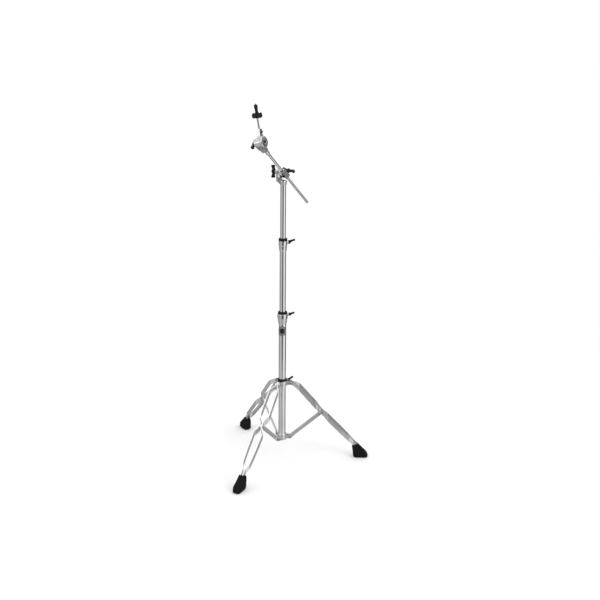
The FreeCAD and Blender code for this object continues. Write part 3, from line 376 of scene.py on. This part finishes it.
def finish_piece(bm, name, mat, node, body, mw):
    bmesh.ops.recalc_face_normals(bm, faces=bm.faces)
    bmesh.ops.transform(bm, matrix=mw, verts=bm.verts)
    me = bpy.data.meshes.new(name)
    bm.to_mesh(me)
    bm.free()
    for p in me.polygons:
        p.use_smooth = True
    o = bpy.data.objects.new(name, me)
    scene.collection.objects.link(o)
    me.materials.append(mat)
    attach(o, body)
    if node:
        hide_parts(node)
    return o


def lathe(bm, profile, n=64, shape=None):
    """Closed turned body round local Z; shape(r, angle, z) may flute it.  Units of mm."""
    rings = []
    for r, z in profile:
        if r < 1e-6:
            rings.append([bm.verts.new((0, 0, z * 0.001))])
            continue
        ring = []
        for k in range(n):
            a = 2 * pi * k / n
            q = shape(r, a, z) if shape else r
            ring.append(bm.verts.new((q * cos(a) * 0.001, q * sin(a) * 0.001, z * 0.001)))
        rings.append(ring)
    for p, q in zip(rings, rings[1:]):
        if len(p) == 1 and len(q) == 1:
            continue
        for k in range(n):
            j = (k + 1) % n
            if len(p) == 1:
                bm.faces.new((p[0], q[j], q[k]))
            elif len(q) == 1:
                bm.faces.new((p[k], p[j], q[0]))
            else:
                bm.faces.new((p[k], p[j], q[j], q[k]))


def jpos(name):
    return Vector(JOINT[name]["pos_m"])


def jax(name):
    return Vector(JOINT[name]["axis"])


PD = jax("seat_wing_turn")
# top nut: fluted barrel with a domed top
bm = bmesh.new()


def flute(r, a, z):
    if z < 1.2 or z > 9.6 or r < 6.5:
        return r
    return r - 0.55 * max(0.0, cos(8 * a)) ** 3


lathe(bm, [(2.97, 0.0), (6.2, 0.0), (6.75, 0.35), (7.0, 0.9), (7.0, 1.3), (7.0, 1.8), (7.0, 5.0), (7.0, 8.6), (7.0, 9.5), (6.95, 10.1), (6.6, 10.9), (6.1, 11.7), (5.4, 12.3), (4.6, 12.6), (2.97, 12.6), (2.97, 0.0)], 128, flute)
finish_piece(bm, "top_nut_mould", M["black_handle"], "top_nut", "top_nut", place(jpos("top_nut_turn"), PD, (1, 0, 0)))

# knurled head of the post's lock screw
bm = bmesh.new()
lathe(bm, [(0, -3.0), (1.7, -3.0), (2.0, -2.6), (2.0, 0.0), (4.1, 0.0), (4.45, 0.3), (4.6, 0.7), (4.6, 4.4), (4.4, 5.0), (3.9, 5.6), (3.4, 5.8), (1.6, 5.8), (1.3, 5.2), (0, 5.2)], 144,
      lambda r, a, z: r - (0.22 * (0.5 + 0.5 * cos(24 * a)) if r > 4.3 else 0.0))
finish_piece(bm, "post_lock_screw_turned", M["screw_steel"], "post_lock_screw", "post_lock_screw", place(jpos("post_lock_turn"), jax("post_lock_turn"), PD))

# ---------------------------------------------------------------------------
# floor, light, camera
# ---------------------------------------------------------------------------
bm = bmesh.new()
bmesh.ops.create_circle(bm, cap_ends=True, segments=96, radius=9.0)
me = bpy.data.meshes.new("floor")
bm.to_mesh(me)
bm.free()
floor = bpy.data.objects.new("floor", me)
scene.collection.objects.link(floor)
k = Mat("floor_paper")
cloud = k.noise(k.coords(), 1.2, 3.0)
k.set(Base_Color=k.ramp(cloud, [(0.3, (0.955, 0.955, 0.955)), (0.7, (0.97, 0.97, 0.97))]), Roughness=0.9, Specular_IOR_Level=0.1)
span = k.add("ShaderNodeVectorMath", operation="LENGTH")
k.link(k.coords(), span.inputs[0])
k.set(Alpha=k.rng(span.outputs["Value"], 1.0, 0.0, 0.9, 2.6))     # the paper sweeps into the white background
me.materials.append(k.m)
floor.visible_glossy = False

w = bpy.data.worlds.new("studio")
scene.world = w
w.use_nodes = True
t = w.node_tree
t.nodes.clear()
out = t.nodes.new("ShaderNodeOutputWorld")
tc = t.nodes.new("ShaderNodeTexCoord")
sep = t.nodes.new("ShaderNodeSeparateXYZ")
t.links.new(tc.outputs["Generated"], sep.inputs[0])


def wmath(op, a, b=None, c=None):
    x = t.nodes.new("ShaderNodeMath")
    x.operation = op
    for i, v in enumerate((a, b, c)):
        if v is None:
            continue
        if isinstance(v, (int, float)):
            x.inputs[i].default_value = v
        else:
            t.links.new(v, x.inputs[i])
    return x.outputs[0]


# azimuth seen from the stand: 0 towards the camera, positive to the right
az = wmath("ARCTAN2", sep.outputs[0], wmath("MULTIPLY", sep.outputs[1], -1.0))
u = wmath("ADD", wmath("DIVIDE", az, 2 * pi), 0.5)


def band(stops):
    x = t.nodes.new("ShaderNodeValToRGB")
    e = x.color_ramp.elements
    e[0].position, e[0].color = 0.0, (stops[0][1],) * 3 + (1,)
    e[1].position, e[1].color = 1.0, (stops[-1][1],) * 3 + (1,)
    for d, c in stops[1:-1]:
        q = e.new((d + 180) / 360.0)
        q.color = (c, c, c, 1)
    t.links.new(u, x.inputs["Fac"])
    return x.outputs["Color"]


studio = band([(-180, 0.10), (-150, 0.10), (-128, 0.22), (-112, 0.50), (-84, 0.36), (-62, 0.62), (-38, 0.66), (-22, 0.30), (-12, 0.08), (8, 0.10), (22, 0.30), (34, 0.95), (48, 1.25), (70, 1.05), (84, 0.30), (104, 0.14), (122, 0.30), (140, 0.12), (180, 0.10)])
table = band([(-180, 0.25), (-150, 0.28), (-120, 0.45), (-88, 0.46), (-55, 0.66), (-30, 0.56), (-12, 0.44), (10, 0.50), (30, 0.80), (52, 1.00), (72, 0.72), (92, 0.46), (120, 0.46), (150, 0.28), (180, 0.25)])
el = wmath("ARCSINE", sep.outputs[2])
edge = t.nodes.new("ShaderNodeMapRange")
edge.interpolation_type = "SMOOTHSTEP"
edge.inputs["From Min"].default_value = radians(-21.3)
edge.inputs["From Max"].default_value = radians(-20.0)
t.links.new(el, edge.inputs["Value"])
mul = t.nodes.new("ShaderNodeMix")
mul.data_type = "RGBA"
t.links.new(edge.outputs["Result"], mul.inputs["Factor"])
t.links.new(table, mul.inputs["A"])
t.links.new(studio, mul.inputs["B"])
# overhead softbox
top = t.nodes.new("ShaderNodeMapRange")
top.interpolation_type = "SMOOTHSTEP"
for name, v in (("From Min", radians(12)), ("From Max", radians(48)), ("To Min", 0.0), ("To Max", 1.0)):
    top.inputs[name].default_value = v
t.links.new(el, top.inputs["Value"])
over = t.nodes.new("ShaderNodeMix")
over.data_type = "RGBA"
t.links.new(top.outputs["Result"], over.inputs["Factor"])
t.links.new(mul.outputs["Result"], over.inputs["A"])
over.inputs["B"].default_value = (1.15, 1.15, 1.15, 1)
mul = over
bg_gloss = t.nodes.new("ShaderNodeBackground")
t.links.new(mul.outputs["Result"], bg_gloss.inputs["Color"])
bg_gloss.inputs["Strength"].default_value = 1.0
bg_soft = t.nodes.new("ShaderNodeBackground")
bg_soft.inputs["Color"].default_value = (1, 1, 1, 1)
bg_soft.inputs["Strength"].default_value = 1.0
lp = t.nodes.new("ShaderNodeLightPath")
mx = t.nodes.new("ShaderNodeMixShader")
t.links.new(lp.outputs["Is Glossy Ray"], mx.inputs[0])
t.links.new(bg_soft.outputs[0], mx.inputs[1])
t.links.new(bg_gloss.outputs[0], mx.inputs[2])
t.links.new(mx.outputs[0], out.inputs["Surface"])


def area(name, loc, look, size, power):
    d = bpy.data.lights.new(name, "AREA")
    d.shape = "RECTANGLE"
    d.size, d.size_y = size
    d.energy = power
    o = bpy.data.objects.new(name, d)
    scene.collection.objects.link(o)
    o.location = loc
    o.rotation_euler = (Vector(look) - Vector(loc)).to_track_quat("-Z", "Y").to_euler()
    return o


area("key_right", (2.6, -2.2, 2.8), (0, 0, 0.8), (1.6, 2.4), 30)
area("fill_left", (-3.0, -1.6, 2.2), (0, 0, 0.8), (1.6, 2.4), 12)

scene.view_settings.view_transform = "Standard"
scene.view_settings.look = "None"
scene.view_settings.exposure = 0.0
scene.view_settings.gamma = 1.0

cam_d = bpy.data.cameras.new("camera")
cam_d.sensor_width = 36.0
cam_d.lens = 36.0 * 800.0 / 600.0
cam_d.clip_end = 50
cam = bpy.data.objects.new("camera", cam_d)
scene.collection.objects.link(cam)
CAM_POS = Vector((-0.02258, -3.08074, 1.56234))
CAM_DIR = Vector((0.028727, 0.961702, -0.272586))
q = CAM_DIR.to_track_quat("-Z", "Y")
cam.rotation_mode = "QUATERNION"
cam.rotation_quaternion = Quaternion(CAM_DIR.normalized(), radians(-0.65)) @ q
cam.location = CAM_POS
scene.camera = cam
